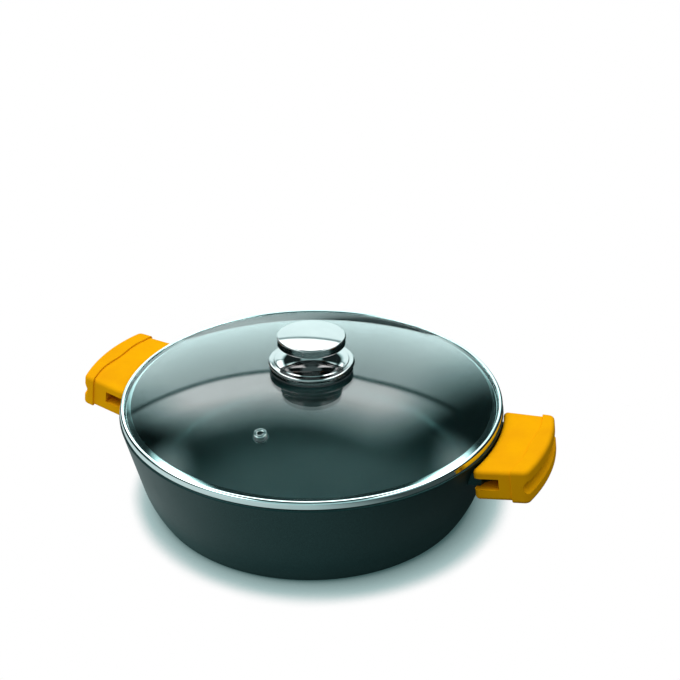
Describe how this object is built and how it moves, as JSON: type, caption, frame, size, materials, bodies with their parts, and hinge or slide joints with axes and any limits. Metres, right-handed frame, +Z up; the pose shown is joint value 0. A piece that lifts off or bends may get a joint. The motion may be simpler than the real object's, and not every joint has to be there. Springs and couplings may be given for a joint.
{
  "type": "saute pan with glass lid",
  "caption": "Low 28 cm saute pan with two side handles in orange silicone grips, and a domed glass lid with a steel band, a steam vent and a steel knob.",
  "frame": {"origin": "centre of the base's underside, on the surface that the pan stands on", "axes": "+Z up along the pan's axis of turning, +X out through the right-hand handle, -Y towards the steam vent"},
  "size_m": [0.3618, 0.2816, 0.1265],
  "materials": {
    "nonstick_coating": "matte",
    "base_steel": "satin",
    "grip_silicone": "matte",
    "lid_glass": "gloss",
    "polished_steel": "polished",
    "seal_silicone": "matte",
    "core_plastic": "matte",
    "insert_brass": "satin"
  },
  "bodies": {
    "pan": {"pan_body": "nonstick_coating", "induction_disc": "base_steel"},
    "lid": {"lid_glass": "lid_glass", "lid_band": "polished_steel", "lid_edge_seal": "seal_silicone", "vent_eyelet": "polished_steel", "vent_gasket": "seal_silicone", "vent_washer": "polished_steel", "knob_cap": "polished_steel", "knob_underplate": "polished_steel", "knob_skirt": "polished_steel", "knob_core": "core_plastic", "knob_insert": "insert_brass", "knob_gasket_upper": "seal_silicone", "knob_gasket_lower": "seal_silicone", "knob_washer": "polished_steel", "knob_lock_washer": "polished_steel", "knob_screw": "polished_steel"},
    "grip_right": {"grip_right": "grip_silicone"},
    "grip_left": {"grip_left": "grip_silicone"}
  },
  "joints": [
    {"name": "lid_lift", "type": "slide", "parent": "pan", "child": "lid", "axis": [0, 0, 1], "range_m": [0, 0.12]},
    {"name": "grip_right_pull", "type": "slide", "parent": "pan", "child": "grip_right", "axis": [0.989, 0, 0.1478], "range_m": [0, 0.045]},
    {"name": "grip_left_pull", "type": "slide", "parent": "pan", "child": "grip_left", "axis": [-0.989, 0, 0.1478], "range_m": [0, 0.045]}
  ]
}
